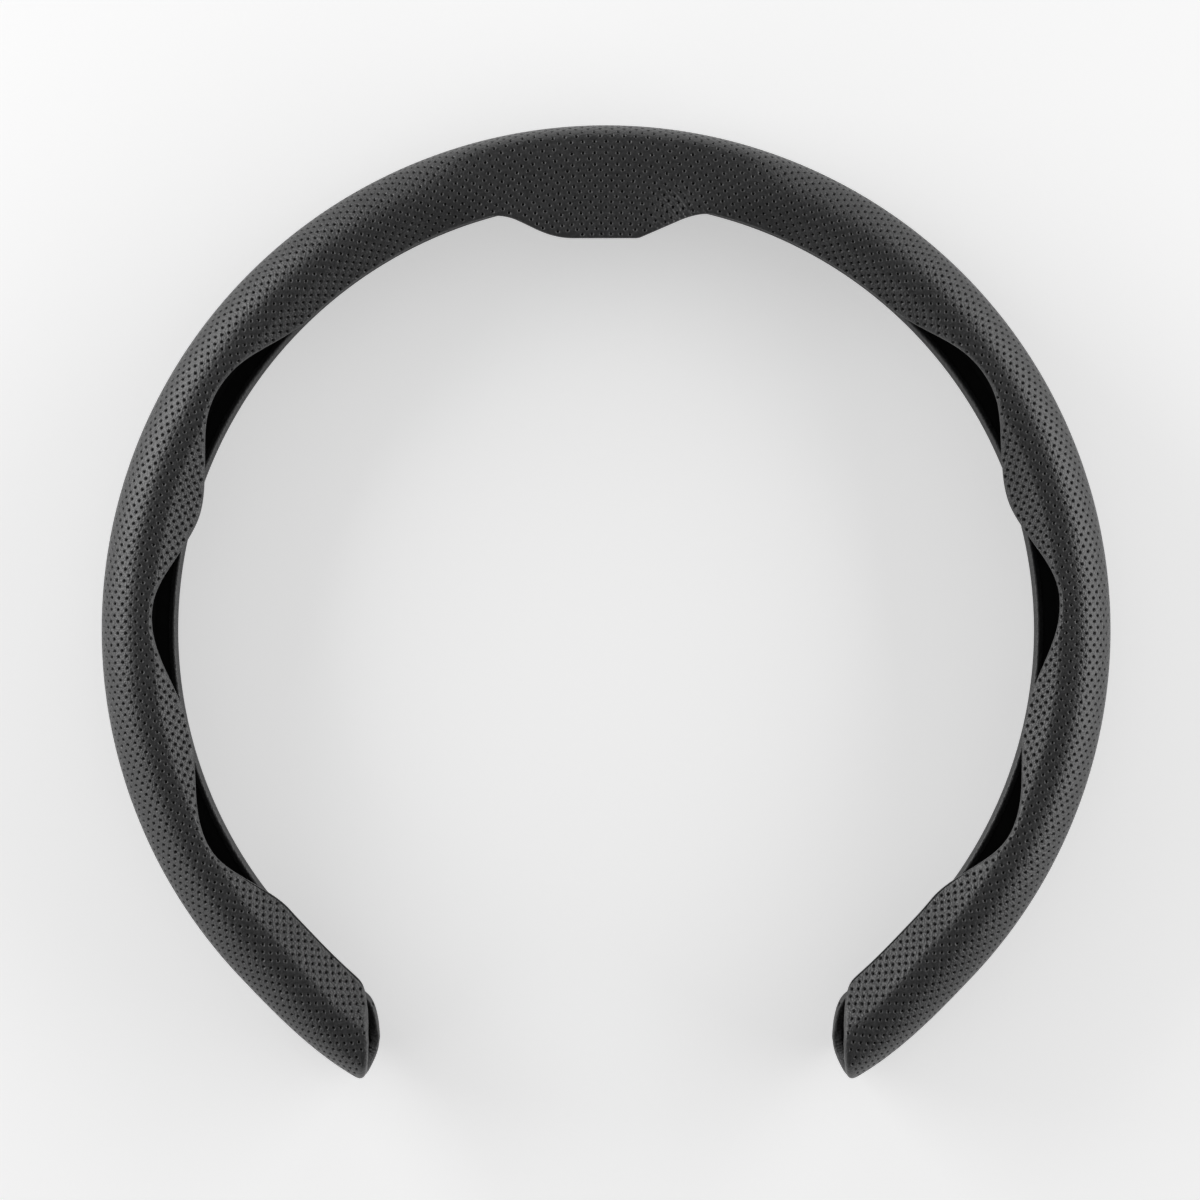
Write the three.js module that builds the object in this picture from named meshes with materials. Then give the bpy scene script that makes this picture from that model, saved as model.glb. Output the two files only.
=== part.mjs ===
// Steering wheel cover: a springy C-section shell that wraps the rim of a car's steering wheel.
// It runs round most of a ring and is open at the bottom. A perforated leather skin covers a thin
// black lining and is turned over all its edges. Finger hollows are cut into the front leaf, and a
// flat tab widens it at the top.
// Millimetres. The ring lies in XY, its front faces +Z and the top of the wheel is at +Y. Angles
// are in degrees from the top of the ring, positive to the right.

import * as THREE from "three";

// Ring
const RING_RADIUS = 193; // outermost radius, at the side of the section
const END_ANGLE = 151.7; // angle of each tip
const FLARE = 3.1; // how far each end springs outwards
const FLARE_ANGLE = 18; // length of the stretch that flares
const CREST_DRIFT = 3; // how much further the front crest moves outwards at the ends

// Section
const DEPTH = 35; // front crest to rear crest
const CREST_TO_SIDE = 15.6; // middle of the crest to the outermost point
const CREST_WIDTH = 7.6; // flat crest, to the middle of the bend on each side
const BEND_WIDTH = 4; // width over which each bend turns
const LEAST_BEND = 0.4; // what is left of a bend on the inside of the walls
const INNER_TILT = 35; // slope from the crest down to the inner edge
const OUTER_TILT = 39; // slope from the crest down to the shoulder
const SHOULDER_WIDTH = 5.5; // width of the round shoulder that ends at the side

// Flat panel at the top of the front leaf
const PANEL_ANGLE = 12; // half length of the flat stretch
const PANEL_BLEND = 14; // stretch over which it turns back into the plain section
const PANEL_OUTER_TILT = 10; // slope that is left between its crest and the shoulder

// Walls and edges
const LEATHER = 0.9; // thickness of the skin
const LINING = 1.2; // thickness of the lining
const CLEARANCE = 0.3; // between the skin and the lining
const HEM = 2.4; // width of skin turned onto the inside
const EDGE_ROUND = 0.9; // rounding of the turned edges

// Inner edges: how far each leaf reaches inwards from the middle of its crest
const REAR_REACH = 13.7;
const PLAIN_REACH = 13.9; // front leaf between the top tab and the first hollow
const PLAIN_ANGLE = 42; // where the first hollow begins
const PATTERN_TURN = -1; // the hollows sit this far round from an even placing
const HOLLOW_1 = { angle: 57, reach: 4.3 };
const HOLLOW_2 = { angle: 87, reach: 5.2 };
const HOLLOW_3 = { angle: 117.5, reach: 6 };
const FINGER_1 = { angle: 73, reach: 16.6 };
const FINGER_2 = { angle: 102.5, reach: 14.5 };
const FINGER_3 = { angle: 130.5, reach: 16.7 };
const CORNER_ANGLE = 141; // where the corner at each end begins to round off
const CORNER_SPAN = 8; // angle over which it rounds off
const CORNER_RISE = 1.5; // how far it rises there

// Top tab, from the ring's centre: a straight lower edge and two sloping flanks
const TAB_REACH = 28.1;
const TAB_LEFT = 19.6; // lower left corner, left of the middle
const TAB_RIGHT = 12.4; // lower right corner, right of the middle
const TAB_LEFT_SLOPE = 25.6;
const TAB_RIGHT_SLOPE = 23.5;
const TAB_LEFT_ROUND = 3.5;
const TAB_RIGHT_ROUND = 0.5;
const TAB_NOTCH_ROUND = 5;
const TAB_HALF_ANGLE = 30; // the tab has no effect beyond this angle

// Ends: how far the end edge is set back from the tip across each leaf
const FRONT_SLANT = 0.3; // for each millimetre from the side
const FRONT_LOBE = 0.00024; // rounding towards the inner edge, with the cube of the distance
const REAR_LOBE = 0.00045;
const TIP_SETBACK = 1.5; // the tip itself is rounded back by this much
const TIP_HEIGHT = 11; // half height of that rounding, along the side
const END_BLEND = 27; // stretch over which the stations turn to follow the end edge
const END_BLEND_POWER = 1.5; // how late in that stretch they turn

// Mesh
const STATIONS = 96; // steps round the ring
const ROLL_STEPS = 3; // steps round each shoulder

const COVER_THICKNESS = 2 * (LEATHER + CLEARANCE) + LINING;
const CREST_RADIUS = RING_RADIUS - CREST_TO_SIDE;

const radians = THREE.MathUtils.degToRad;
const degrees = THREE.MathUtils.radToDeg;
const tangent = (angle) => Math.tan(radians(angle));
const { smoothstep, lerp } = THREE.MathUtils;

// Smaller of two values, with the crossing rounded over a width
function smoothMin(a, b, width) {
  const near = Math.max(width - Math.abs(a - b), 0) / width;
  return Math.min(a, b) - (near * near * width) / 4;
}

function smoothMax(a, b, width) {
  return -smoothMin(-a, -b, width);
}

// Zero, then a parabola across the bend, then the distance itself
function softRamp(distance, width) {
  const into = THREE.MathUtils.clamp(distance + width / 2, 0, width);
  return (into * into) / (2 * width) + Math.max(distance - width / 2, 0);
}

function rampSlope(distance, width) {
  return THREE.MathUtils.clamp(distance / width + 0.5, 0, 1);
}

// 0 along the ring and 1 at the tips
function flareAt(angle) {
  return smoothstep(Math.abs(angle), END_ANGLE - FLARE_ANGLE, END_ANGLE);
}

// Radius of the tab's outline at an angle
function tabRadius(angle) {
  const floor = CREST_RADIUS - TAB_REACH;
  const sin = Math.sin(radians(angle));
  const cos = Math.cos(radians(angle));
  const left = tangent(TAB_LEFT_SLOPE);
  const right = tangent(TAB_RIGHT_SLOPE);
  const leftFlank = (floor - left * TAB_LEFT) / (cos + left * sin);
  const rightFlank = (floor - right * TAB_RIGHT) / (cos - right * sin);
  const lower = smoothMax(floor / cos, rightFlank, TAB_RIGHT_ROUND);
  return smoothMax(lower, leftFlank, TAB_LEFT_ROUND);
}

// Reach of the front leaf along the hollows and fingers, in smooth waves
function waveReach(angle) {
  const even = Math.abs(angle - PATTERN_TURN);
  const knots = [
    { angle: PLAIN_ANGLE, reach: PLAIN_REACH },
    HOLLOW_1,
    FINGER_1,
    HOLLOW_2,
    FINGER_2,
    HOLLOW_3,
    FINGER_3,
  ];
  let reach = PLAIN_REACH;
  for (let k = 1; k < knots.length; k += 1) {
    const [from, to] = [knots[k - 1], knots[k]];
    reach += (to.reach - from.reach) * smoothstep(even, from.angle, to.angle);
  }
  return reach - CORNER_RISE * smoothstep(Math.abs(angle), CORNER_ANGLE, CORNER_ANGLE + CORNER_SPAN);
}

function frontReach(angle) {
  const wave = waveReach(angle);
  if (Math.abs(angle) > TAB_HALF_ANGLE) return wave;
  return CREST_RADIUS - smoothMin(tabRadius(angle), CREST_RADIUS - wave, TAB_NOTCH_ROUND);
}

// Shape of one leaf's section at an angle: radii and slopes
function leafAt(angle, front) {
  const flare = flareAt(angle);
  const away = Math.abs(angle) - PANEL_ANGLE;
  const plain = front ? smoothstep(away, 0, PANEL_BLEND) : 1;
  return {
    crest: CREST_RADIUS + (FLARE + (front ? CREST_DRIFT : 0)) * flare,
    side: RING_RADIUS + FLARE * flare,
    reach: (front ? frontReach(angle) : REAR_REACH) + (front ? CREST_DRIFT * flare : 0),
    innerTilt: INNER_TILT * plain,
    outerTilt: lerp(PANEL_OUTER_TILT, OUTER_TILT, plain),
  };
}

// Bends of a leaf at a depth below its outer face, as middle radius and width
function bendsAt(leaf, depth) {
  const width = (tilt) => Math.max(BEND_WIDTH - depth * tangent(tilt), LEAST_BEND);
  return {
    inner: leaf.crest - CREST_WIDTH / 2 + depth * tangent(leaf.innerTilt / 2),
    outer: leaf.crest + CREST_WIDTH / 2 - depth * tangent(leaf.outerTilt / 2),
    innerWidth: width(leaf.innerTilt),
    outerWidth: width(leaf.outerTilt),
  };
}

// Height above the middle plane of the section, from the inner edge to the shoulder
function leafHeight(leaf, bends, radius, depth) {
  const inwards = softRamp(bends.inner - radius, bends.innerWidth);
  const outwards = softRamp(radius - bends.outer, bends.outerWidth);
  return DEPTH / 2 - depth - tangent(leaf.innerTilt) * inwards - tangent(leaf.outerTilt) * outwards;
}

// Points of one leaf from its inner edge to the side, as [radius, height]. The inset is measured
// from the inner edge along the surface, and the wall there stands square to the surface.
function leafPoints(leaf, depth, inset) {
  const bends = bendsAt(leaf, depth);
  const outside = bendsAt(leaf, 0);
  const cut = leaf.crest - leaf.reach;
  const slope = tangent(leaf.innerTilt) * rampSlope(outside.inner - cut, outside.innerWidth);
  const tilt = Math.atan(slope);
  const edge = cut + depth * Math.sin(tilt) + inset * Math.cos(tilt);
  const step = (leaf.crest - edge) / 4;
  const radii = [
    edge,
    Math.max(bends.inner - bends.innerWidth / 2, edge + step),
    Math.max(bends.inner + bends.innerWidth / 2, edge + 2 * step),
    bends.outer - bends.outerWidth / 2,
    bends.outer + bends.outerWidth / 2,
  ];
  const points = radii.map((radius) => [radius, leafHeight(leaf, bends, radius, depth)]);
  return points.concat(rollPoints(leaf, bends, depth));
}

// The shoulder: a parabola from the outer slope to the side, where it stands upright
function rollPoints(leaf, bends, depth) {
  const side = leaf.side - depth;
  const start = leaf.side - SHOULDER_WIDTH - depth * Math.sin(radians(leaf.outerTilt));
  const top = leafHeight(leaf, bends, start, depth);
  const corner = top - (side - start) * tangent(leaf.outerTilt);
  const curve = new THREE.QuadraticBezierCurve(
    new THREE.Vector2(start, top),
    new THREE.Vector2(side, corner),
    new THREE.Vector2(side, 0),
  );
  return curve.getPoints(ROLL_STEPS).map((point) => [point.x, point.y]);
}

// The whole section at an angle, from the front inner edge round the side to the rear inner edge
function sectionPoints(angle, depth, inset) {
  const front = leafPoints(leafAt(angle, true), depth, inset);
  const rear = leafPoints(leafAt(angle, false), depth, inset);
  const mirrored = rear.slice(0, -1).reverse();
  return [...front, ...mirrored.map(([radius, height]) => [radius, -height])];
}

const ROWS = sectionPoints(0, 0, 0).length;

// How far the end edge is set back from the tip, at a distance in from the side and a height,
// with the inset of a wall that runs beside it
function endSetback(fromSide, height, inset) {
  const front = smoothstep(height, -DEPTH / 4, DEPTH / 4);
  const slant = FRONT_SLANT * front;
  const lobe = lerp(REAR_LOBE, FRONT_LOBE, front);
  const tip = TIP_SETBACK * Math.max(1 - Math.abs(height) / TIP_HEIGHT, 0) ** 2;
  const length = tip + slant * fromSide + lobe * fromSide ** 3;
  const slope = slant + 3 * lobe * fromSide ** 2;
  return length + inset * Math.hypot(1, slope);
}

// A point of the shell: rows run across the section and stations run round the ring. Near the
// ends the stations turn to follow the end edge.
function shellPoint(station, row, depth, inset) {
  const even = lerp(-END_ANGLE, END_ANGLE, station / STATIONS);
  const [evenRadius, evenHeight] = sectionPoints(even, depth, inset)[row];
  const fromSide = leafAt(even, true).side - evenRadius;
  const weight = Math.max(Math.abs(even) - (END_ANGLE - END_BLEND), 0) / END_BLEND;
  const setback = endSetback(fromSide, evenHeight, inset) * weight ** END_BLEND_POWER;
  const angle = even - Math.sign(even) * degrees(setback / evenRadius);
  const [radius, height] = sectionPoints(angle, depth, inset)[row];
  const turn = radians(angle);
  return [radius * Math.sin(turn), radius * Math.cos(turn), height];
}

// Station and row of every vertex along the shell's border, in order
function borderPlaces() {
  const places = [];
  for (let station = 0; station < STATIONS; station += 1) places.push([station, 0]);
  for (let row = 0; row < ROWS - 1; row += 1) places.push([STATIONS, row]);
  for (let station = STATIONS; station > 0; station -= 1) places.push([station, ROWS - 1]);
  for (let row = ROWS - 1; row > 0; row -= 1) places.push([0, row]);
  return places;
}

// A closed shell: a sheet at the first [depth, inset], a sheet at the last one facing the other
// way, and between them bands along the border through every [depth, inset] in the list.
function shellGeometry(profile) {
  const border = borderPlaces();
  const positions = [];
  const triangles = [];
  const vertexOf = (station, row) => station * ROWS + row;

  function addSheet([depth, inset]) {
    const first = positions.length / 3;
    for (let station = 0; station <= STATIONS; station += 1) {
      for (let row = 0; row < ROWS; row += 1) {
        positions.push(...shellPoint(station, row, depth, inset));
      }
    }
    return first;
  }

  function addSheetFaces(first, outwards) {
    for (let station = 0; station < STATIONS; station += 1) {
      for (let row = 0; row < ROWS - 1; row += 1) {
        const a = first + vertexOf(station, row);
        const b = first + vertexOf(station + 1, row);
        if (outwards) triangles.push(a, b, b + 1, a, b + 1, a + 1);
        else triangles.push(a, b + 1, b, a, a + 1, b + 1);
      }
    }
  }

  function addLoop([depth, inset]) {
    const first = positions.length / 3;
    for (const [station, row] of border) positions.push(...shellPoint(station, row, depth, inset));
    return border.map((place, k) => first + k);
  }

  function addBand(from, to) {
    from.forEach((a, k) => {
      const next = (k + 1) % from.length;
      triangles.push(a, to[k], to[next], a, to[next], from[next]);
    });
  }

  const outer = addSheet(profile[0]);
  const inner = addSheet(profile[profile.length - 1]);
  const loops = [
    border.map(([station, row]) => outer + vertexOf(station, row)),
    ...profile.slice(1, -1).map(addLoop),
    border.map(([station, row]) => inner + vertexOf(station, row)),
  ];
  addSheetFaces(outer, true);
  addSheetFaces(inner, false);
  loops.slice(1).forEach((loop, k) => addBand(loops[k], loop));

  const geometry = new THREE.BufferGeometry();
  geometry.setAttribute("position", new THREE.Float32BufferAttribute(positions, 3));
  geometry.setIndex(triangles);
  geometry.computeVertexNormals();
  return geometry;
}

// The skin goes over the outside, round every edge and back along the inside as a narrow hem
function leatherCover() {
  const geometry = shellGeometry([
    [0, EDGE_ROUND],
    [EDGE_ROUND, 0],
    [COVER_THICKNESS - EDGE_ROUND, 0],
    [COVER_THICKNESS, EDGE_ROUND],
    [COVER_THICKNESS, HEM],
    [COVER_THICKNESS - LEATHER, HEM],
    [COVER_THICKNESS - LEATHER, LEATHER],
    [LEATHER, LEATHER],
  ]);
  const material = new THREE.MeshStandardMaterial({ color: 0x2c2c2d, roughness: 0.55, metalness: 0 });
  const mesh = new THREE.Mesh(geometry, material);
  mesh.name = "leather_cover";
  return mesh;
}

// The lining lies inside the skin and ends inside its turned edges
function innerLining() {
  const seat = LEATHER + CLEARANCE;
  const geometry = shellGeometry([
    [seat, seat],
    [seat + LINING, seat],
  ]);
  const material = new THREE.MeshStandardMaterial({ color: 0x101011, roughness: 0.9, metalness: 0 });
  const mesh = new THREE.Mesh(geometry, material);
  mesh.name = "inner_lining";
  return mesh;
}

// The cover lies on its rear crest, with the origin under the middle of its outline
function steeringWheelCover() {
  const cover = new THREE.Group();
  cover.add(leatherCover(), innerLining());
  const outline = new THREE.Box3().setFromObject(cover);
  const middle = outline.getCenter(new THREE.Vector3());
  cover.position.set(-middle.x, -middle.y, -outline.min.z);
  return cover;
}

export default steeringWheelCover();
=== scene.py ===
# Looks of the steering wheel cover. The perforated skin is built in mesh code with real holes. It
# follows the CAD part's surface, with a rounder outer bend, rounder edges and softer corners. Its
# turned edges are one more mesh, and the CAD lining stays under it.
import math

import bpy
import numpy as np
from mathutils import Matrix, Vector
from mathutils.kdtree import KDTree


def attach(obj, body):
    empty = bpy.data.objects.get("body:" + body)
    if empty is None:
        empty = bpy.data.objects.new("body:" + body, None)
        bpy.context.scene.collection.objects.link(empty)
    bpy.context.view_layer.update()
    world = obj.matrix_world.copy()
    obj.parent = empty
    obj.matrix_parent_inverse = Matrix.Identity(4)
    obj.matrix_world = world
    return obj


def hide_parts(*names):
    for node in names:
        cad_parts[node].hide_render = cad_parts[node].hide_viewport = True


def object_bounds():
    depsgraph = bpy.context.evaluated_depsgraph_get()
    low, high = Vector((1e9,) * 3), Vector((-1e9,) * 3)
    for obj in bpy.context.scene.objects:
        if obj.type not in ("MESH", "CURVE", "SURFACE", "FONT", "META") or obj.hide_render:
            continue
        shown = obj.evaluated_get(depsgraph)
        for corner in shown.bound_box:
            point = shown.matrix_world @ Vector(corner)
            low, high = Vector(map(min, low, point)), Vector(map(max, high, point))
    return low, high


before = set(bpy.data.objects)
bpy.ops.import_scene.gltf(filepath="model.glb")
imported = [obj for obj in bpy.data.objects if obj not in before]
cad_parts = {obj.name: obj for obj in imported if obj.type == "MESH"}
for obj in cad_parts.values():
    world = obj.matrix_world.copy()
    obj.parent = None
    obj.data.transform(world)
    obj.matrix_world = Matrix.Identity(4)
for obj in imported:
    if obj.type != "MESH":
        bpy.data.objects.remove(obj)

CAD_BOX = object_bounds()

# Driving dimensions in millimetres and degrees, as in the CAD source but for the outer bend
RING_RADIUS = 193
END_ANGLE = 151.7
FLARE = 3.1
FLARE_ANGLE = 18
CREST_DRIFT = 3
DEPTH = 35
CREST_TO_SIDE = 15.6
CREST_WIDTH = 7.6
BEND_WIDTH = 4
INNER_TILT = 35
OUTER_TILT = 45  # steeper than in the CAD part
OUTER_BEND_WIDTH = 10  # wider than in the CAD part
OUTER_BEND_SHIFT = 1.3  # how far outwards the wider bend lies
SHOULDER_WIDTH = 5.5
PANEL_ANGLE = 12
PANEL_BLEND = 14
PANEL_OUTER_TILT = 10
LEATHER = 0.9
THICKNESS = 3.6
HEM = 2.4
REAR_REACH = 13.7
PLAIN_REACH = 13.9
PATTERN_TURN = -1
WAVE = [(42, 13.9), (57, 4.3), (73, 16.6), (87, 5.2), (102.5, 14.5), (117.5, 6), (130.5, 16.7)]
CORNER_ANGLE = 141
TAB_REACH = 28.1
TAB_LEFT, TAB_LEFT_SLOPE, TAB_LEFT_ROUND = 19.6, 25.6, 3.5
TAB_RIGHT, TAB_RIGHT_SLOPE, TAB_RIGHT_ROUND = 12.4, 23.5, 0.5
TAB_NOTCH_ROUND = 5
TAB_HALF_ANGLE = 30
FRONT_SLANT, FRONT_LOBE, REAR_LOBE = 0.3, 0.00024, 0.00045
TIP_SETBACK = 1.5
TIP_HEIGHT = 11
CREST_RADIUS = RING_RADIUS - CREST_TO_SIDE

# Perforation, in rows round the ring: 0 on the front crest, 13 on the side, 26 on the rear crest
HOLE_ANGLE = 1.38  # spacing along a row
HALF_ANGLE = HOLE_ANGLE / 2  # rows are staggered by it
ROW_PITCH = 2.04  # inside the crests
SIDE_ROW = 13
FIRST_ROW, LAST_ROW = -17, 2 * SIDE_ROW + 10
LAST_COLUMN = 224  # half steps from the top to beyond an end
HOLE_SIDES = 10
HOLE_RADIUS = 0.5
HOLE_MARGIN = 0.1  # between a hole and the field's edge
# Rings of a hole from its dimple's edge to its floor: radius, depth, and tilt of the surface
HOLE_RINGS = [(0.98, 0, 0), (0.8, 0.07, 36), (0.48, 0.32, 48), (0.42, 0.62, 80)]
MAP_DRAW = 0.25  # how far the walls are drawn inwards on the map, as a share for each millimetre

# Which cells are near the border, in millimetres
BORDER_REACH = 6  # beyond it a place counts as far in or far out
FAR = 10.0
CELL_REACH = 3  # cells whose middles lie less far out than this may still show
TESTED_INSET = 5  # points of cells less far in are tested against the border
FIELD_PIECES = [("leather_lower_left", -160, -76), ("leather_upper_left", -76, 0),
    ("leather_upper_right", 0, 76), ("leather_lower_right", 76, 160)]

# Edges
FIELD_INSET = 0.5  # where the perforated field ends and the turned edge begins
END_FIELD_INSET = 1.25  # the same near the two ends, beyond a crease
CREASE_INSET, CREASE_WIDTH, CREASE_DEPTH = 0.95, 0.2, 0.5
EDGE_WIDTH, EDGE_DEPTH = 1.2, 0.9  # a plain edge's rounding
ROLL_WIDTH, ROLL_DEPTH = 3.2, 2.6  # the wider rounding of a hollow's edge
END_ROLL = 0.45  # how far the two ends' edges go from one to the other
END_HEM = 1.0  # how much wider the hem is at the two ends
HEM_ROUND = 0.25  # rounding of the hem's rim
HOLLOW_REACH = (5, 12)  # distances in from the crest between which a hollow's edge becomes plain
LAST_EDGE_ROW = 5  # on the front, the border below this row is the leaf's inner edge
CREASE_ANGLES = (120, 127)  # angles from the top between which the crease begins
ROUNDING_START = 0.6  # share of the field's inset at which the rounding begins
ROUNDING_STEPS, TURN_STEPS = 6, 4
LIP, LIP_DEPTH = 0.25, 0.08  # how far the edge reaches in under the field, and how deep
PLEAT_LENGTH, PLEAT_DEPTH, END_PLEAT_DEPTH = 2.4, 0.4, 0.6
PLEATED_RINGS = 5  # rings of the hem whose normals follow the pleats
PLEAT_SHADING = 3  # weight of the pleats in those normals
LEG_SAMPLES, END_SAMPLES = 6000, 800  # along an edge and an end, before they are spaced evenly

# Widths over which values along the border are smoothed
LINE_SOFTNESS = 0.35
CORNER_SOFTNESS = 3
END_SOFTNESS = 1.5
HEM_SOFTNESS = 2.5
ROLL_SOFTNESS = 2
CORNER_REACH = (5, 12)  # distances from a corner between which its softness fades
EDGE_STEP = 0.35  # spacing of the border's samples
SHELVES = 24  # rows that the edge's map is folded into

# Pull wrinkles in the leather beside the top tab, in metres in the row frame
PULL_PLACE = (0.0264, 0.1491, 0.035)
PULL_TURN = 38  # degrees
PULL_SIZE = 0.016

# Colours and finish
LEATHER_DARK, LEATHER_LIGHT = (0.015, 0.015, 0.0155), (0.035, 0.035, 0.036)
LEATHER_ROUGHNESS = (0.36, 0.5)
BLACK = 0.02  # the lining and the floors of the holes
NOISE_RANGE = (0.3, 0.7)  # the noise values that colour and finish are spread over

# Camera, floor and lamps, in metres
FRAME_PIXELS = 1200
PIXEL = 0.0003826  # metres of the object for one pixel of the frame
RING_PIXEL = (606.1, 629.9)  # the ring's centre in the photograph
SENSOR = 36  # in millimetres
CAMERA_HEIGHT = 4
FLOOR_COLOUR = (0.84, 0.84, 0.84)
FLOOR_GLOW = 0.44
FLOOR_SIZE, FLOOR_GAP = 8, 0.0005
WORLD_STRENGTH = 0.2
# Angle round the ring from the top and rise in degrees, distance, size and radiance
LAMPS = {
    "left": (-66, 14, 1.5, (1.2, 0.7), 5.6),
    "low_left": (-110, 14, 1.5, (1.2, 0.7), 1.6),
    "right": (82, 14, 1.5, (2.3, 0.7), 3.9),
    "top": (4, 12, 1.5, (1.2, 0.5), 1.3),
}

# The ring's centre in the row frame, in millimetres: the top of the box is the ring's radius away
LOW, HIGH = (np.array(corner) * 1000 for corner in CAD_BOX)
CENTRE = np.array([0, HIGH[1] - RING_RADIUS, (LOW[2] + HIGH[2]) / 2])


def smoothstep(x, low, high):
    t = np.clip((x - low) / (high - low), 0, 1)
    return t * t * (3 - 2 * t)


def tangent(angle):
    return math.tan(math.radians(angle))


def soft_min(a, b, width):
    near = np.maximum(width - np.abs(a - b), 0) / width
    return np.minimum(a, b) - near * near * width / 4


def soft_max(a, b, width):
    return -soft_min(-a, -b, width)


def soft_ramp(distance, width):
    into = np.clip(distance + width / 2, 0, width)
    return into * into / (2 * width) + np.maximum(distance - width / 2, 0)


def unit(vectors):
    return vectors / np.maximum(np.linalg.norm(vectors, axis=-1, keepdims=True), 1e-12)


def front_reach(angle):
    """How far the front leaf reaches inwards from the middle of its crest."""
    even = np.abs(angle - PATTERN_TURN)
    wave = np.full_like(angle, PLAIN_REACH)
    for (a, reach_a), (b, reach_b) in zip(WAVE, WAVE[1:]):
        wave = wave + (reach_b - reach_a) * smoothstep(even, a, b)
    floor = CREST_RADIUS - TAB_REACH
    near = np.clip(angle, -TAB_HALF_ANGLE, TAB_HALF_ANGLE)
    sin, cos = np.sin(np.radians(near)), np.cos(np.radians(near))
    left, right = tangent(TAB_LEFT_SLOPE), tangent(TAB_RIGHT_SLOPE)
    left_flank = (floor - left * TAB_LEFT) / (cos + left * sin)
    right_flank = (floor - right * TAB_RIGHT) / (cos - right * sin)
    lower = soft_max(floor / cos, right_flank, TAB_RIGHT_ROUND)
    tab = soft_max(lower, left_flank, TAB_LEFT_ROUND)
    radius = soft_min(tab, CREST_RADIUS - wave, TAB_NOTCH_ROUND)
    return np.where(np.abs(angle) > TAB_HALF_ANGLE, wave, CREST_RADIUS - radius)


def flare_at(angle):
    return smoothstep(np.abs(angle), END_ANGLE - FLARE_ANGLE, END_ANGLE)


def crest_at(angle, front):
    return CREST_RADIUS + (FLARE + (CREST_DRIFT if front else 0)) * flare_at(angle)


def side_at(angle):
    return RING_RADIUS + FLARE * flare_at(angle)


def edge_radius(angle, front):
    reach = front_reach(angle) + CREST_DRIFT * flare_at(angle) if front else REAR_REACH
    return crest_at(angle, front) - reach


# The outer surface as a table over the angle and the row
TABLE_ANGLE = 158
CURVE_REACH, CURVE_STEP = 36, 0.1  # length of a leaf's curve inwards from the crest, and its steps
ROLL_STEPS = 60  # steps of its rounding into the side
ANGLES = np.arange(-TABLE_ANGLE, TABLE_ANGLE + 0.01, 0.25)
ROWS = np.arange(FIRST_ROW - 1, LAST_ROW + 2.01, 0.1)


def leaf_curve(angle, front):
    """Radius, height and length from the crest along a leaf's outer face, as far as the side."""
    crest, side = crest_at(angle, front), side_at(angle)
    plain = smoothstep(abs(angle) - PANEL_ANGLE, 0, PANEL_BLEND) if front else 1
    inner_slope = tangent(INNER_TILT * plain)
    outer_slope = tangent(PANEL_OUTER_TILT + (OUTER_TILT - PANEL_OUTER_TILT) * plain)
    inner_bend, outer_bend = crest - CREST_WIDTH / 2, crest + CREST_WIDTH / 2 + OUTER_BEND_SHIFT

    def height(radius):
        inwards = soft_ramp(inner_bend - radius, BEND_WIDTH)
        outwards = soft_ramp(radius - outer_bend, OUTER_BEND_WIDTH)
        return DEPTH / 2 - inner_slope * inwards - outer_slope * outwards

    start = side - SHOULDER_WIDTH
    radii = np.append(np.arange(crest - CURVE_REACH, start - CURVE_STEP / 2, CURVE_STEP), start)
    corner = height(start) - SHOULDER_WIDTH * outer_slope
    t = np.linspace(0, 1, ROLL_STEPS + 1)[1:]
    roll_radius = (1 - t) ** 2 * start + (1 - (1 - t) ** 2) * side
    roll_height = (1 - t) ** 2 * height(start) + 2 * t * (1 - t) * corner
    radius = np.append(radii, roll_radius)
    rise = np.append(height(radii), roll_height)
    length = np.append(0, np.cumsum(np.hypot(np.diff(radius), np.diff(rise))))
    return radius, rise, length - np.interp(crest, radii, length[:len(radii)])


def surface_tables():
    radii, heights = np.empty((len(ANGLES), len(ROWS))), np.empty((len(ANGLES), len(ROWS)))
    for front, mine in ((True, ROWS <= SIDE_ROW), (False, ROWS > SIDE_ROW)):
        rows = ROWS[mine] if front else 2 * SIDE_ROW - ROWS[mine]
        for k, angle in enumerate(ANGLES):
            radius, rise, length = leaf_curve(angle, front)
            along = np.where(rows > 0, rows * length[-1] / SIDE_ROW, rows * ROW_PITCH)
            radii[k, mine] = np.interp(along, length, radius)
            heights[k, mine] = np.interp(along, length, rise) * (1 if front else -1)
    return radii, heights


RADII, HEIGHTS = surface_tables()
ANGLE_STEP, ROW_STEP = ANGLES[1] - ANGLES[0], ROWS[1] - ROWS[0]
SLOPES = [np.gradient(table, step, axis=axis) for table in (RADII, HEIGHTS)
    for axis, step in ((0, math.radians(ANGLE_STEP)), (1, ROW_STEP))]


def look_up(tables, angle, row):
    x = np.clip((angle - ANGLES[0]) / ANGLE_STEP, 0, len(ANGLES) - 1.001)
    y = np.clip((row - ROWS[0]) / ROW_STEP, 0, len(ROWS) - 1.001)
    i, j = x.astype(int), y.astype(int)
    u, v = x - i, y - j
    return [table[i, j] * (1 - u) * (1 - v) + table[i + 1, j] * u * (1 - v)
        + table[i, j + 1] * (1 - u) * v + table[i + 1, j + 1] * u * v for table in tables]


def surface(angle, row):
    """Points, unit normals, and the steps for one degree and one row, about the ring's centre."""
    r, h, r_turn, r_row, h_turn, h_row = look_up([RADII, HEIGHTS, *SLOPES], angle, row)
    sin, cos = np.sin(np.radians(angle)), np.cos(np.radians(angle))
    point = np.stack([r * sin, r * cos, h], -1)
    turn = np.stack([r_turn * sin + r * cos, r_turn * cos - r * sin, h_turn], -1)
    across = np.stack([r_row * sin, r_row * cos, h_row], -1)
    return point, unit(np.cross(turn, across)), np.radians(1) * turn, across


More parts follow.
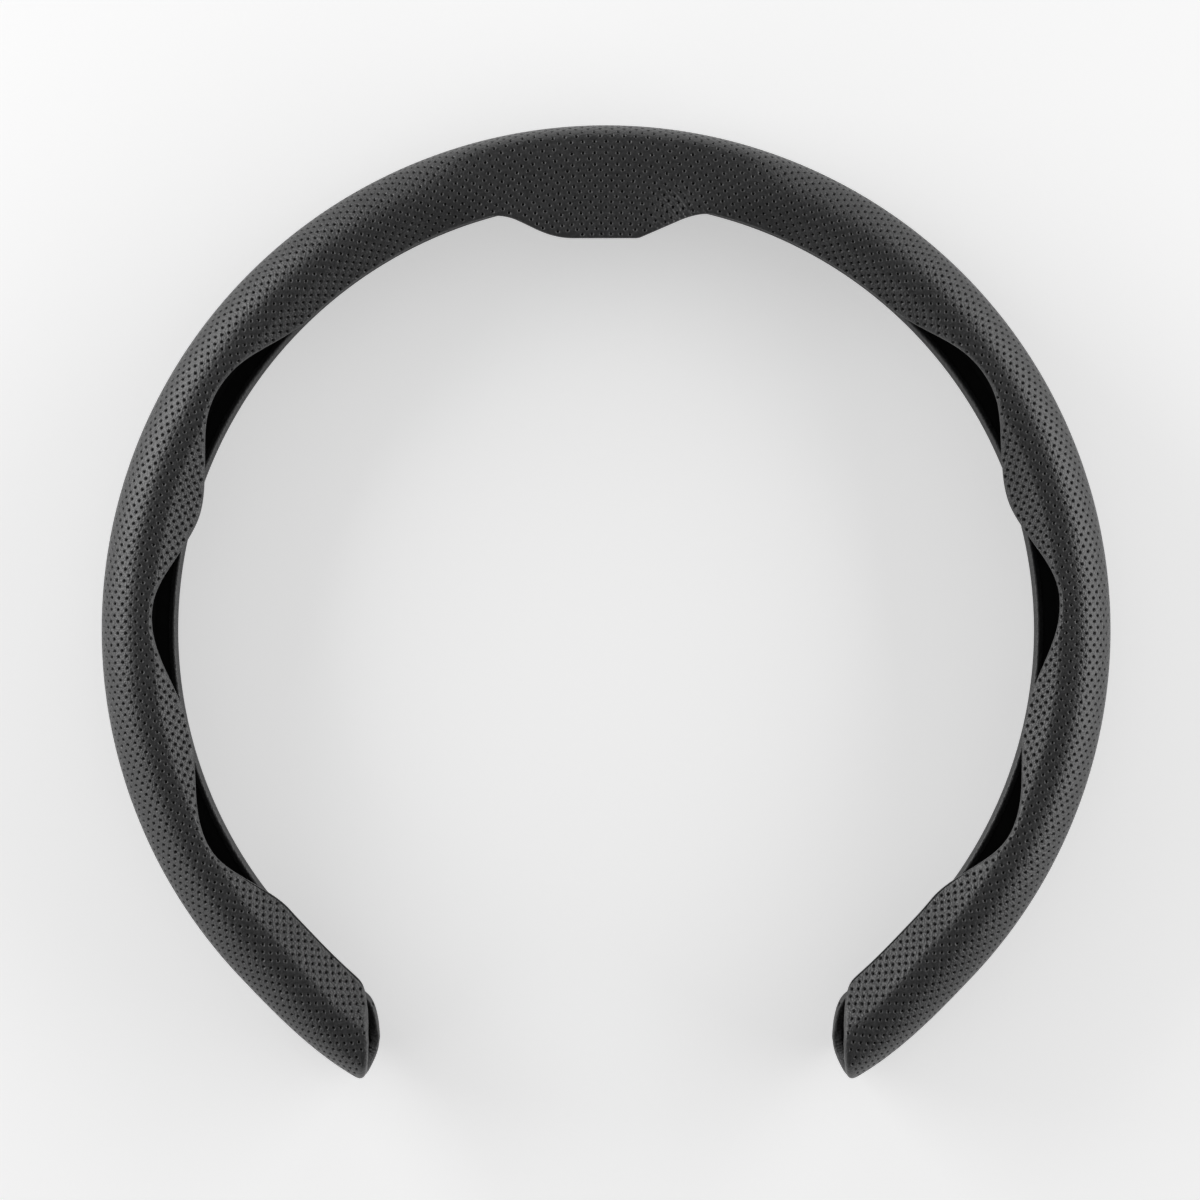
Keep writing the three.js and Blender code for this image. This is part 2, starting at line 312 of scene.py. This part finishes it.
# Border of the skin, as functions of the angle and the row
EDGE_LIMIT = 156
EDGE_ANGLES = np.arange(-EDGE_LIMIT, EDGE_LIMIT + 0.01, 0.1)


def edge_rows(front):
    """Row of a leaf's inner edge at each of the edge's angles."""
    rows = []
    for angle, radius in zip(EDGE_ANGLES, edge_radius(EDGE_ANGLES, front)):
        radii, _, length = leaf_curve(angle, front)
        row = np.interp(radius, radii, length) / ROW_PITCH
        rows.append(row if front else 2 * SIDE_ROW - row)
    return np.array(rows)


FRONT_ROWS, REAR_ROWS = edge_rows(True), edge_rows(False)


def end_angle(row):
    """Angle of the end edge at a row."""
    radius, rise = look_up([RADII, HEIGHTS], np.full_like(row, END_ANGLE), row)
    from_side = side_at(END_ANGLE) - radius
    front = smoothstep(rise, -DEPTH / 4, DEPTH / 4)
    lobe = REAR_LOBE + (FRONT_LOBE - REAR_LOBE) * front
    tip = TIP_SETBACK * np.maximum(1 - np.abs(rise) / TIP_HEIGHT, 0) ** 2
    setback = tip + FRONT_SLANT * front * from_side + lobe * from_side ** 3
    return END_ANGLE - np.degrees(setback / radius)


def corner_rows():
    """Row of each corner of the skin, by side (1 is the right) and by whether it is on the front."""
    rows = np.arange(SIDE_ROW, LAST_ROW + 1, 0.02)
    turns = {}
    for sign in (1, -1):
        for front in (True, False):
            some = 2 * SIDE_ROW - rows if front else rows
            edge = np.interp(sign * end_angle(some), EDGE_ANGLES, FRONT_ROWS if front else REAR_ROWS)
            past = some < edge if front else some > edge
            turns[sign, front] = some[np.argmax(past)]
    return turns


def border_legs():
    """The border as four legs of angles and rows: front edge, right end, rear edge and left end."""
    turns = corner_rows()
    legs = []
    for front, sign in ((True, 1), (False, -1)):
        stops = [s * end_angle(np.array([turns[s, front]]))[0] for s in (-sign, sign)]
        angle = np.linspace(*stops, LEG_SAMPLES)
        row = np.interp(angle, EDGE_ANGLES, FRONT_ROWS if front else REAR_ROWS)
        legs.append(np.stack([angle, row], -1))
        row = np.linspace(turns[sign, front], turns[sign, not front], END_SAMPLES)
        legs.append(np.stack([sign * end_angle(row), row], -1))
    return legs


def border_places():
    """Angle and row along the border, evenly spaced and with softened corners, and how far each
    sample belongs to one of the two ends."""
    legs = border_legs()
    places = np.concatenate([leg[:-1] for leg in legs])
    places = np.append(places, places[:1], axis=0)
    point = surface(places[:, 0], places[:, 1])[0]
    length = np.append(0, np.cumsum(np.linalg.norm(np.diff(point, axis=0), axis=1)))
    starts = np.cumsum([0] + [len(leg) - 1 for leg in legs])[:-1]
    corners = length[starts]
    count = int(length[-1] / EDGE_STEP)
    even = np.arange(count) * length[-1] / count
    places = np.stack([np.interp(even, length, places[:, k]) for k in (0, 1)], -1)
    apart = np.abs(even[:, None] - corners[None, :])
    near = 1 - smoothstep(np.minimum(apart, length[-1] - apart).min(1), *CORNER_REACH)
    soft, softer = (smooth_loop(places, width) for width in (LINE_SOFTNESS, CORNER_SOFTNESS))
    at_end = ((even > corners[1]) & (even < corners[2])) | (even > corners[3])
    return soft * (1 - near[:, None]) + softer * near[:, None], smooth_loop(at_end * 1.0, END_SOFTNESS)


def smooth_loop(values, width):
    """A closed list of samples, smoothed over a width in millimetres."""
    reach = int(3 * width / EDGE_STEP) + 1
    offsets = np.arange(-reach, reach + 1)
    weights = np.exp(-0.5 * (offsets * EDGE_STEP / width) ** 2)
    weights /= weights.sum()
    return sum(w * np.roll(values, -o, axis=0) for w, o in zip(weights, offsets))


BORDER, BORDER_ENDS = border_places()
BORDER_POINT, BORDER_NORMAL = surface(BORDER[:, 0], BORDER[:, 1])[:2]
BORDER_ALONG = unit(np.roll(BORDER_POINT, -1, axis=0) - np.roll(BORDER_POINT, 1, axis=0))
BORDER_INWARDS = unit(np.cross(BORDER_NORMAL, BORDER_ALONG))
FROM_CREST = CREST_RADIUS - np.hypot(BORDER_POINT[:, 0], BORDER_POINT[:, 1])
HOLLOW = 1 - smoothstep(FROM_CREST, *HOLLOW_REACH)
ON_FRONT = (BORDER_POINT[:, 2] > 0) & (BORDER[:, 1] < LAST_EDGE_ROW)
BORDER_ROLL = smooth_loop(HOLLOW * ON_FRONT * (np.abs(BORDER[:, 0]) < CORNER_ANGLE), ROLL_SOFTNESS)
BORDER_ROLL = np.maximum(BORDER_ROLL, END_ROLL * BORDER_ENDS)
BORDER_CREASE = smoothstep(np.abs(BORDER[:, 0]), *CREASE_ANGLES)
BORDER_INSET = FIELD_INSET + (END_FIELD_INSET - FIELD_INSET) * BORDER_CREASE
BORDER_CREASE = BORDER_CREASE * (1 - BORDER_ENDS)


def border_tree():
    tree = KDTree(len(BORDER_POINT))
    for k, point in enumerate(BORDER_POINT):
        tree.insert(point, k)
    tree.balance()
    return tree


TREE = border_tree()


def nearest_border(points):
    """Index of the nearest border sample, and how far in from it each point lies."""
    index = np.array([TREE.find(p)[1] for p in points], int)
    inset = np.einsum("ij,ij->i", points - BORDER_POINT[index], BORDER_INWARDS[index])
    return index, inset


def inside(angle, row):
    low = np.interp(angle, EDGE_ANGLES, FRONT_ROWS)
    high = np.interp(angle, EDGE_ANGLES, REAR_ROWS)
    return (row > low) & (row < high) & (np.abs(angle) < end_angle(row))


def rounding(roll):
    """Width and depth of the edge's quarter of an ellipse."""
    return EDGE_WIDTH + (ROLL_WIDTH - EDGE_WIDTH) * roll, EDGE_DEPTH + (ROLL_DEPTH - EDGE_DEPTH) * roll


def drop_at(inset, roll):
    """Depth of the rounded edge and its slope, at a distance in from the border."""
    width, depth = rounding(roll)
    t = np.clip(1 - inset / width, 0, 0.9999)
    root = np.sqrt(1 - t * t)
    return depth * (1 - root), depth * t / (width * root)


def field_points(angle, row, near):
    """Points and normals of the skin at angle and row. Those past the field's edge are brought back
    to it. Only the ones marked near are tested."""
    point, normal, turn, across = surface(angle, row)
    place = np.stack([angle, row], -1)
    which = np.flatnonzero(near)
    index, inset = nearest_border(point[which])
    least = BORDER_INSET[index]
    outwards = -BORDER_INWARDS[index]
    out = inset < least
    depth, slope = drop_at(np.maximum(inset, least), BORDER_ROLL[index])
    at = point[which]
    n = normal[which]
    shift = (least - inset)[:, None] * BORDER_INWARDS[index]
    edge = BORDER_POINT[index] + least[:, None] * BORDER_INWARDS[index]
    at = np.where(out[:, None], edge, at)
    n = np.where(out[:, None], BORDER_NORMAL[index], n)
    at = at - depth[:, None] * n
    point[which] = at
    normal[which] = unit(n + slope[:, None] * outwards)
    moved = np.stack([
        np.einsum("ij,ij->i", shift, turn[which]) / (turn[which] ** 2).sum(1),
        np.einsum("ij,ij->i", shift, across[which]) / (across[which] ** 2).sum(1),
    ], -1)
    place[which] += np.where(out[:, None], moved, 0)
    return point, normal, place


# Materials
def new_material(name):
    material = bpy.data.materials.new(name)
    material.use_nodes = True
    nodes = material.node_tree.nodes
    return material, nodes, material.node_tree.links, nodes["Principled BSDF"]


def texture(nodes, links, kind, scale, **sockets):
    node = nodes.new(kind)
    node.inputs["Scale"].default_value = scale
    for socket, value in sockets.items():
        node.inputs[socket.replace("_", " ")].default_value = value
    links.new(nodes["Texture Coordinate"].outputs["Object"], node.inputs["Vector"])
    return node


def remap(nodes, links, source, low, high, to_low, to_high):
    node = nodes.new("ShaderNodeMapRange")
    for k, value in enumerate((low, high, to_low, to_high), 1):
        node.inputs[k].default_value = value
    links.new(source, node.inputs[0])
    return node.outputs[0]


def bump(nodes, links, source, height, strength, before=None):
    node = nodes.new("ShaderNodeBump")
    node.inputs["Strength"].default_value = strength
    node.inputs["Distance"].default_value = height
    links.new(source, node.inputs["Height"])
    if before:
        links.new(before.outputs[0], node.inputs["Normal"])
    return node


def mix_colours(nodes, links, factor, a, b):
    node = nodes.new("ShaderNodeMix")
    node.data_type = "RGBA"
    node.inputs[6].default_value = (*a, 1)
    node.inputs[7].default_value = (*b, 1)
    links.new(factor, node.inputs[0])
    return node.outputs[2]


def placed(nodes, links, centre, turn, size):
    """Texture coordinates about a point, turned by an angle in degrees, 1 at a distance of size."""
    node = nodes.new("ShaderNodeMapping")
    node.vector_type = "TEXTURE"
    node.inputs["Location"].default_value = centre
    node.inputs["Rotation"].default_value = (0, 0, math.radians(turn))
    node.inputs["Scale"].default_value = (size, size, size)
    links.new(nodes["Texture Coordinate"].outputs["Object"], node.inputs["Vector"])
    return node.outputs[0]


def pull_wrinkles(nodes, links):
    """Height of the folds beside the top tab's right corner, which fade out from their middle."""
    folds = nodes.new("ShaderNodeTexWave")
    folds.inputs["Scale"].default_value = 2.2
    folds.inputs["Distortion"].default_value = 2.5
    folds.inputs["Detail"].default_value = 2
    pull = placed(nodes, links, PULL_PLACE, PULL_TURN, PULL_SIZE)
    links.new(pull, folds.inputs["Vector"])
    fade = nodes.new("ShaderNodeTexGradient")
    fade.gradient_type = "SPHERICAL"
    links.new(pull, fade.inputs["Vector"])
    wrinkle = nodes.new("ShaderNodeMath")
    wrinkle.operation = "MULTIPLY"
    links.new(folds.outputs["Fac"], wrinkle.inputs[0])
    links.new(fade.outputs["Fac"], wrinkle.inputs[1])
    return wrinkle.outputs[0]


def leather_material():
    material, nodes, links, shader = new_material("perforated_leather")
    nodes.new("ShaderNodeTexCoord").name = "Texture Coordinate"
    mottle = texture(nodes, links, "ShaderNodeTexNoise", scale=750, Detail=3.0)
    tone = remap(nodes, links, mottle.outputs[0], *NOISE_RANGE, 0, 1)
    links.new(mix_colours(nodes, links, tone, LEATHER_DARK, LEATHER_LIGHT), shader.inputs["Base Color"])
    shine = remap(nodes, links, mottle.outputs[0], *NOISE_RANGE, *LEATHER_ROUGHNESS)
    links.new(shine, shader.inputs["Roughness"])
    shader.inputs["Specular IOR Level"].default_value = 0.7
    # Bumps from coarse to fine, with heights in metres
    patches = texture(nodes, links, "ShaderNodeTexNoise", scale=90, Detail=5.0)
    grain = texture(nodes, links, "ShaderNodeTexVoronoi", scale=1100, Randomness=0.95)
    fine = texture(nodes, links, "ShaderNodeTexNoise", scale=2600, Detail=2.0)
    creases = bump(nodes, links, pull_wrinkles(nodes, links), height=0.0006, strength=0.9)
    lumps = bump(nodes, links, patches.outputs[0], height=0.0008, strength=0.4, before=creases)
    pebbles = bump(nodes, links, grain.outputs["Distance"], height=0.00018, strength=0.9, before=lumps)
    pebbles.invert = True
    grit = bump(nodes, links, fine.outputs[0], height=0.00006, strength=0.5, before=pebbles)
    links.new(grit.outputs[0], shader.inputs["Normal"])
    return material


def black_material(name, level, roughness):
    material, nodes, links, shader = new_material(name)
    nodes.new("ShaderNodeTexCoord").name = "Texture Coordinate"
    patches = texture(nodes, links, "ShaderNodeTexNoise", scale=150, Detail=4.0)
    fine = texture(nodes, links, "ShaderNodeTexNoise", scale=1800, Detail=2.0)
    tone = remap(nodes, links, patches.outputs[0], *NOISE_RANGE, 0, 1)
    colour = mix_colours(nodes, links, tone, (level * 0.85,) * 3, (level * 1.15,) * 3)
    links.new(colour, shader.inputs["Base Color"])
    shine = remap(nodes, links, patches.outputs[0], *NOISE_RANGE, roughness - 0.05, roughness + 0.05)
    links.new(shine, shader.inputs["Roughness"])
    grit = bump(nodes, links, fine.outputs[0], height=0.00008, strength=0.3)
    links.new(grit.outputs[0], shader.inputs["Normal"])
    shader.inputs["Specular IOR Level"].default_value = 0.3
    return material


# Meshes
def add_piece(name, points, normals, triangles, uvs, materials, slots=None):
    """A piece from points in millimetres about the ring's centre. uvs is per triangle corner."""
    a, b, c = (points[triangles[:, k]] for k in range(3))
    real = np.linalg.norm(np.cross(b - a, c - a), axis=1) > 1e-5
    triangles, uvs = triangles[real], uvs[real]
    used, triangles = np.unique(triangles, return_inverse=True)
    triangles = triangles.reshape(-1, 3)
    mesh = bpy.data.meshes.new(name)
    mesh.from_pydata((points[used] + CENTRE) / 1000, [], triangles)
    mesh.shade_smooth()
    layer = mesh.uv_layers.new(name="OFBake")
    layer.uv.foreach_set("vector", uvs.reshape(-1).astype(np.float32))
    for material in materials:
        mesh.materials.append(material)
    if slots is not None:
        mesh.polygons.foreach_set("material_index", slots[real].astype(np.int32))
    mesh.normals_split_custom_set_from_vertices(normals[used].astype(np.float32))
    piece = bpy.data.objects.new(name, mesh)
    bpy.context.collection.objects.link(piece)
    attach(piece, "root")
    return piece


def ring_pattern():
    """Triangles between a cell's 8 outer corners and the rim of its hole."""
    out, rim, made = 0, 0, []
    while out < 8 or rim < HOLE_SIDES:
        if rim < HOLE_SIDES and (out == 8 or (rim + 1) * 8 <= (out + 1) * HOLE_SIDES):
            made.append((8 + rim, out % 8, 8 + (rim + 1) % HOLE_SIDES))
            rim += 1
        else:
            made.append((8 + rim % HOLE_SIDES, out, (out + 1) % 8))
            out += 1
    return made


def hole_pattern():
    """Triangles of a cell with a hole. Its corners are 8 outer ones and then the rings'."""
    made = ring_pattern()
    n = HOLE_SIDES
    for ring in range(len(HOLE_RINGS) - 1):
        upper, lower = 8 + ring * n, 8 + (ring + 1) * n
        for k in range(n):
            m = (k + 1) % n
            made += [(lower + k, upper + k, upper + m), (lower + k, upper + m, lower + m)]
    floor = 8 + (len(HOLE_RINGS) - 1) * n
    made += [(floor, floor + k, floor + k + 1) for k in range(1, n - 1)]
    return np.array(made)


def choose_cells():
    """Column and row of the diamond cells on or near the skin, one for each place of the pattern,
    how far in from the border their middles lie, and where the field ends there."""
    columns = np.arange(-LAST_COLUMN, LAST_COLUMN + 1)
    i, j = np.meshgrid(columns, np.arange(FIRST_ROW, LAST_ROW + 1), indexing="ij")
    keep = (i + j) % 2 == 0
    i, j = i[keep], j[keep]
    point = surface(i * HALF_ANGLE, j.astype(float))[0]
    index, inset = nearest_border(point)
    apart = np.linalg.norm(point - BORDER_POINT[index], axis=1)
    within = inside(i * HALF_ANGLE, j.astype(float))
    inset = np.where(apart < BORDER_REACH, inset, np.where(within, FAR, -FAR))
    keep = inset > -CELL_REACH
    return i[keep], j[keep], inset[keep], BORDER_INSET[index[keep]]


def share_corners(i, j):
    """Angle and row of the cells' outer corners, each once, and the indices of every cell's eight."""
    ring = np.array([(2, 0), (1, 1), (0, 2), (-1, 1), (-2, 0), (-1, -1), (0, -2), (1, -1)])
    corner = np.stack([2 * i, 2 * j], -1)[:, None, :] + ring[None]
    quarters, corner = np.unique(corner.reshape(-1, 2), axis=0, return_inverse=True)
    return quarters[:, 0] * HALF_ANGLE / 2, quarters[:, 1] / 2, corner.reshape(-1, 8)


def hole_rings(i, j, inset):
    """Points, normals and places of the holes' rings, ring by ring."""
    around = np.arange(HOLE_SIDES) * 2 * math.pi / HOLE_SIDES
    centre, _, turn, across = surface(i * HALF_ANGLE, j.astype(float))
    turn_length = np.linalg.norm(turn, axis=1)[:, None]
    row_length = np.linalg.norm(across, axis=1)[:, None]
    near = np.repeat(inset < TESTED_INSET, HOLE_SIDES)
    middle = np.repeat(np.stack([i * HALF_ANGLE, j], -1), HOLE_SIDES, axis=0)
    rings = []
    for radius, depth, tilt in HOLE_RINGS:
        angle = (i * HALF_ANGLE)[:, None] + radius * np.cos(around) / turn_length
        row = j[:, None] + radius * np.sin(around) / row_length
        point, normal, place = field_points(angle.ravel(), row.ravel(), near)
        towards = np.repeat(centre, HOLE_SIDES, axis=0) - point
        towards = unit(towards - np.einsum("ij,ij->i", towards, normal)[:, None] * normal)
        point = point - depth * normal
        normal = unit(normal * math.cos(math.radians(tilt)) + towards * math.sin(math.radians(tilt)))
        # On the map the steep walls are drawn inwards, so that they have room
        place = middle + (place - middle) * (1 - MAP_DRAW * depth)
        rings.append((point, normal, place))
    return rings


def shown_cells():
    """The cells that reach into the field: their columns, rows, insets, field edges and corners. Then
    the angle and row of every corner, and whether it is close to the border."""
    i, j, inset, least = choose_cells()
    angle, row, corner = share_corners(i, j)
    close = np.zeros(len(angle), bool)
    close[corner[inset < TESTED_INSET].ravel()] = True
    spare = np.full(len(angle), FAR)
    index, corner_inset = nearest_border(surface(angle, row)[0][close])
    spare[close] = corner_inset - BORDER_INSET[index]
    shown = (inset > least) | (spare[corner] > 0).any(1)
    return (i[shown], j[shown], inset[shown], least[shown], corner[shown]), (angle, row, close)


def field_mesh():
    """Points, normals and places of the whole field, and for the cells with a hole and then for the
    plain ones, the angles of their middles and their triangles."""
    (i, j, inset, least, corner), (angle, row, close) = shown_cells()
    holed = inset > least + HOLE_RADIUS + HOLE_MARGIN
    plain = ~holed
    rings = hole_rings(i[holed], j[holed], inset[holed])
    middles = field_points(i[plain] * HALF_ANGLE, j[plain].astype(float), np.ones(plain.sum(), bool))
    parts = [field_points(angle, row, close), *rings, middles]
    points, normals, places = (np.concatenate(column) for column in zip(*parts))

    own = np.arange(holed.sum())[:, None] * HOLE_SIDES + np.arange(HOLE_SIDES)
    rims = [len(angle) + k * own.size + own for k in range(len(HOLE_RINGS))]
    holes = np.concatenate([corner[holed], *rims], axis=1)[:, hole_pattern()]
    middle = len(points) - plain.sum() + np.arange(plain.sum())[:, None]
    fan = np.array([(8, k, (k + 1) % 8) for k in range(8)])
    flat = np.concatenate([corner[plain], middle], axis=1)[:, fan]
    return points, normals, places, ((i[holed] * HALF_ANGLE, holes), (i[plain] * HALF_ANGLE, flat))


def map_places(place, low_row, high_row):
    """Places laid out flat on the square map, at one scale both ways."""
    around = (place[..., 0] - place[..., 0].min()) * np.radians(1) * CREST_RADIUS
    across = (place[..., 1] - low_row) * ROW_PITCH
    size = max(around.max(), (high_row - low_row) * ROW_PITCH) * 1.01
    return np.stack([around / size, across / size], -1) + 0.003


def build_field(leather, black):
    """The perforated skin: one diamond cell for each hole, in four pieces round the ring."""
    points, normals, places, ((hole_angle, holes), (plain_angle, flat)) = field_mesh()
    low_row, high_row = places[:, 1].min(), places[:, 1].max()
    for name, low, high in FIELD_PIECES:
        mine = holes[(hole_angle >= low) & (hole_angle < high)]
        others = flat[(plain_angle >= low) & (plain_angle < high)]
        triangles = np.concatenate([mine.reshape(-1, 3), others.reshape(-1, 3)])
        # The last triangles of every hole are its floor
        floor = np.arange(holes.shape[1]) >= holes.shape[1] - (HOLE_SIDES - 2)
        slots = np.append(np.tile(floor, len(mine)), np.zeros(8 * len(others))).astype(int)
        uvs = map_places(places[triangles], low_row, high_row)
        piece = add_piece(name, points, normals, triangles, uvs, [leather, black], slots)
        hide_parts("leather_cover")
        print(name, len(triangles), "triangles", len(mine), "holes")


def crease_rings(roll, crease, least):
    """A lip under the field's rim, then the stretch with the crease."""
    none = 0 * roll
    depth, slope = drop_at(least + LIP, roll)
    rings = [(least + LIP, depth + LIP_DEPTH, np.arctan(slope), none)]
    for part in (1, 0.92, 0.84, 0.76, 0.68, ROUNDING_START):
        inset = part * least
        depth, slope = drop_at(inset, roll)
        off = (inset - CREASE_INSET) / CREASE_WIDTH
        groove = crease * CREASE_DEPTH * np.exp(-off * off)
        rings.append((inset, depth + groove, np.arctan(slope + groove * 2 * off / CREASE_WIDTH), none))
    return rings


def rounding_rings(roll, least):
    """The rounding, a quarter of an ellipse."""
    rings = []
    width, depth = rounding(roll)
    start = np.arcsin(1 - ROUNDING_START * least / width)
    for t in np.linspace(0, 1, ROUNDING_STEPS + 1)[1:]:
        turn = start + (math.pi / 2 - start) * t
        tilt = np.arctan2(depth * np.sin(turn), width * np.cos(turn))
        rings.append((width * (1 - np.sin(turn)), depth * (1 - np.cos(turn)), tilt, 0 * roll))
    return rings


def hem_rings(roll, ends):
    """The turn to the inside, and the hem."""
    rings = []
    for t in np.linspace(0, 1, TURN_STEPS + 1):
        turn = t * math.pi / 2
        inset = LEATHER * (1 - math.cos(turn)) + 0 * roll
        sunk = THICKNESS - LEATHER * (1 - math.sin(turn))
        rings.append((inset, sunk, math.pi / 2 + turn, inset / HEM))
    hem = HEM + END_HEM * ends
    for part in (0.6, 1):
        rings.append((LEATHER + (hem - LEATHER - HEM_ROUND) * part, THICKNESS, math.pi, 1))
    for depth in (THICKNESS - HEM_ROUND, THICKNESS - LEATHER):
        rings.append((hem, depth, 1.5 * math.pi, 1))
    return rings


def edge_profile(take):
    """Rings of the turned edge: inset, depth, tilt of the surface, and how far the border's small
    turns are smoothed away."""
    columns = (BORDER_ROLL, BORDER_CREASE, BORDER_INSET, BORDER_ENDS)
    roll, crease, least, ends = (values[take][:, None] for values in columns)
    return crease_rings(roll, crease, least) + rounding_rings(roll, least) + hem_rings(roll, ends)


def pleat_heights(take):
    """Small uneven folds along the hem, deeper at the two ends."""
    along = take * EDGE_STEP * math.pi / PLEAT_LENGTH
    ridge = np.abs(np.sin(along + 2 * np.sin(along * 0.31) + np.sin(along * 0.13))) ** 0.6 - 0.6
    depth = PLEAT_DEPTH + (END_PLEAT_DEPTH - PLEAT_DEPTH) * BORDER_ENDS[take]
    return (depth * ridge)[:, None]


def edge_loops(take):
    """Points and normals of the turned edge, ring by ring."""
    point, normal, inwards = BORDER_POINT[take], BORDER_NORMAL[take], BORDER_INWARDS[take]
    soft = smooth_loop(BORDER_POINT, HEM_SOFTNESS)[take]
    soft_inwards = unit(smooth_loop(BORDER_INWARDS, HEM_SOFTNESS)[take])
    pleat = pleat_heights(take)
    loops, normals = [], []
    for inset, depth, tilt, softness in edge_profile(take):
        base = point + (soft - point) * softness
        aim = unit(inwards + (soft_inwards - inwards) * softness)
        loops.append(base + (inset + 2 * pleat * softness) * aim - (depth - pleat * softness) * normal)
        normals.append(unit(np.cos(tilt) * normal - np.sin(tilt) * aim))
    normals[0] = normals[1]
    for k in range(len(loops) - PLEATED_RINGS, len(loops)):
        normals[k] = pleated_normals(loops, normals, k)
    return loops, normals


def pleated_normals(loops, normals, k):
    """Normals of a ring of the hem, turned to follow the pleats."""
    across = loops[min(k + 1, len(loops) - 1)] - loops[k - 1]
    along = np.roll(loops[k], -1, axis=0) - np.roll(loops[k], 1, axis=0)
    pleated = unit(np.cross(along, across))
    pleated *= np.sign(np.einsum("ij,ij->i", pleated, normals[k]))[:, None]
    return unit(normals[k] + PLEAT_SHADING * pleated)


def strip_mesh(count, layers):
    """Triangles and map of a closed strip. On the map its length is folded into shelves."""
    k = np.arange(count)
    per_shelf = math.ceil(count / SHELVES)
    shelf, along = k // per_shelf, k % per_shelf
    triangles, uvs = [], []
    for layer in range(layers - 1):
        a, b = layer * count + k, layer * count + (k + 1) % count
        c, d = a + count, b + count
        triangles += [np.stack([a, b, c], -1), np.stack([b, d, c], -1)]
        v0, v1 = ((shelf + 0.05 + 0.9 * (layer + s) / (layers - 1)) / SHELVES for s in (0, 1))
        u0, u1 = ((along + s) / per_shelf for s in (0, 1))
        at = {(s, t): np.stack([(u0, u1)[s], (v0, v1)[t]], -1) for s in (0, 1) for t in (0, 1)}
        uvs += [np.stack([at[0, 0], at[1, 0], at[0, 1]], 1), np.stack([at[1, 0], at[1, 1], at[0, 1]], 1)]
    return np.concatenate(triangles)[:, ::-1], np.concatenate(uvs)[:, ::-1]


def build_edge(leather):
    """The turned edge: from under the field's rim, round the edge and back along the inside."""
    # Every other sample of the border, and all of them at the ends, where the pleats are deeper
    every = np.arange(len(BORDER_POINT))
    take = every[(every % 2 == 0) | (BORDER_ENDS > 0.01)]
    loops, normals = edge_loops(take)
    triangles, uvs = strip_mesh(len(take), len(loops))
    points, normals = np.concatenate(loops), np.concatenate(normals)
    piece = add_piece("leather_edge", points, normals, triangles, uvs, [leather])
    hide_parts("leather_cover")
    print("leather_edge", len(triangles), "triangles")


# Camera, lamps and floor
FRAME_CENTRE = ((FRAME_PIXELS / 2 - RING_PIXEL[0]) * PIXEL,
    CENTRE[1] / 1000 + (RING_PIXEL[1] - FRAME_PIXELS / 2) * PIXEL)


def add_camera():
    camera = bpy.data.cameras.new("camera")
    camera.sensor_width = SENSOR
    camera.lens = SENSOR * CAMERA_HEIGHT / (FRAME_PIXELS * PIXEL)
    camera.clip_end = 20
    eye = bpy.data.objects.new("camera", camera)
    eye.location = (*FRAME_CENTRE, CAMERA_HEIGHT + CENTRE[2] / 1000)
    bpy.context.collection.objects.link(eye)
    bpy.context.scene.camera = eye


def add_light(name, angle, rise, distance, size, radiance):
    """A soft lamp at an angle round the ring from the top, at a rise above the floor in degrees."""
    lamp = bpy.data.lights.new(name, "AREA")
    lamp.shape = "RECTANGLE"
    lamp.size, lamp.size_y = size
    lamp.energy = radiance * math.pi * size[0] * size[1]
    light = bpy.data.objects.new(name, lamp)
    turn, lift = math.radians(angle), math.radians(rise)
    aim = Vector((math.sin(turn) * math.cos(lift), math.cos(turn) * math.cos(lift), math.sin(lift)))
    light.location = aim * distance
    light.rotation_euler = aim.to_track_quat("Z", "Y").to_euler()
    bpy.context.collection.objects.link(light)


def floor_material():
    """A pale floor that glows for the camera, and in reflections, but lights nothing."""
    material, nodes, links, shader = new_material("floor")
    shader.inputs["Base Color"].default_value = (*FLOOR_COLOUR, 1)
    shader.inputs["Roughness"].default_value = 0.9
    shader.inputs["Emission Color"].default_value = (1, 1, 1, 1)
    path = nodes.new("ShaderNodeLightPath")
    seen = path.outputs["Is Camera Ray"]
    for kind in ("Is Glossy Ray", "Is Transmission Ray"):
        both = nodes.new("ShaderNodeMath")
        both.operation = "MAXIMUM"
        links.new(seen, both.inputs[0])
        links.new(path.outputs[kind], both.inputs[1])
        seen = both.outputs[0]
    glow = nodes.new("ShaderNodeMath")
    glow.operation = "MULTIPLY"
    glow.inputs[1].default_value = FLOOR_GLOW
    links.new(seen, glow.inputs[0])
    links.new(glow.outputs[0], shader.inputs["Emission Strength"])
    return material


def add_floor():
    mesh = bpy.data.meshes.new("floor")
    half = FLOOR_SIZE / 2
    corners = [(-half, -half, 0), (half, -half, 0), (half, half, 0), (-half, half, 0)]
    mesh.from_pydata(corners, [], [(0, 1, 2, 3)])
    floor = bpy.data.objects.new("floor", mesh)
    floor.location.z = LOW[2] / 1000 - FLOOR_GAP
    bpy.context.collection.objects.link(floor)
    mesh.materials.append(floor_material())


def set_world():
    world = bpy.data.worlds.new("world")
    bpy.context.scene.world = world
    world.use_nodes = True
    background = world.node_tree.nodes["Background"]
    background.inputs["Color"].default_value = (1, 1, 1, 1)
    background.inputs["Strength"].default_value = WORLD_STRENGTH


LEATHER_LOOK = leather_material()
BLACK_LOOK = black_material("black_lining", BLACK, 0.6)
build_field(LEATHER_LOOK, black_material("hole_floor", BLACK, 0.8))
build_edge(LEATHER_LOOK)
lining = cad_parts["inner_lining"]
lining.data.materials.clear()
lining.data.materials.append(BLACK_LOOK)

add_camera()
set_world()
add_floor()
for lamp_name, lamp_setting in LAMPS.items():
    add_light(lamp_name, *lamp_setting)
bpy.context.scene.view_settings.view_transform = "Standard"
